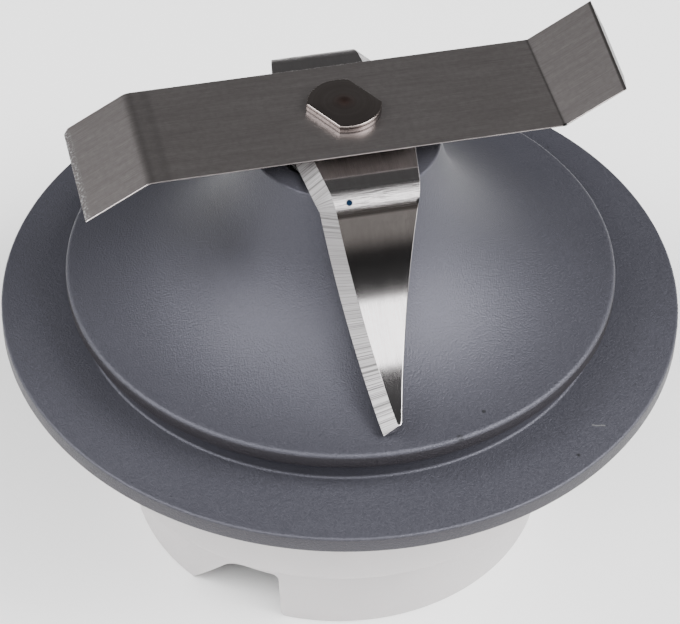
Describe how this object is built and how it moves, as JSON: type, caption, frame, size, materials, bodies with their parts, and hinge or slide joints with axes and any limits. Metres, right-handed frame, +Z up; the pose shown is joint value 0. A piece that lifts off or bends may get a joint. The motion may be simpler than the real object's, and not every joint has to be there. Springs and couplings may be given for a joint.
{
  "type": "mill blade unit",
  "caption": "Blade unit for a small food mill: bent cutting bars on a spindle above a bell-shaped plate, with a bayonet skirt and a splined drive socket below.",
  "frame": {"origin": "centre of the skirt's foot, on the surface that the unit stands on", "axes": "+Z up along the spindle, towards the blades; the upper blade's raised end lies 14 degrees from +X towards +Y, and the picture looks along +Y"},
  "size_m": [0.076, 0.076, 0.0598],
  "materials": {
    "coated_casting": "satin blue-grey fine-grained non-stick coating on cast aluminium",
    "white_moulding": "off-white moulded plastic, slightly translucent",
    "blade_steel": "brushed stainless strip with ground edges",
    "spindle_steel": "turned stainless steel",
    "sintered_bronze": "oil-filled sintered bronze",
    "plain_steel": "zinc-plated steel",
    "seal_rubber": "black nitrile rubber",
    "black_moulding": "black glass-filled plastic",
    "insert_brass": "machined brass"
  },
  "bodies": {
    "housing": {"bell_plate": "coated_casting", "base_skirt": "white_moulding", "upper_bush": "sintered_bronze", "upper_thrust_washer": "plain_steel", "shaft_seal": "seal_rubber", "seal_spring": "plain_steel", "lower_bush": "sintered_bronze", "skirt_screw_1": "plain_steel", "skirt_screw_2": "plain_steel", "skirt_screw_3": "plain_steel"},
    "rotor": {"spindle": "spindle_steel", "lower_blade": "blade_steel", "upper_blade": "blade_steel", "lower_thrust_washer": "plain_steel", "retaining_ring": "plain_steel", "drive_coupling": "black_moulding", "coupling_insert": "insert_brass", "lock_washer": "plain_steel", "coupling_nut": "plain_steel"}
  },
  "joints": [
    {"name": "blade_spin", "type": "hinge", "parent": "housing", "child": "rotor", "pos_m": [0, 0, 0], "axis": [0, 0, 1], "continuous": true}
  ]
}
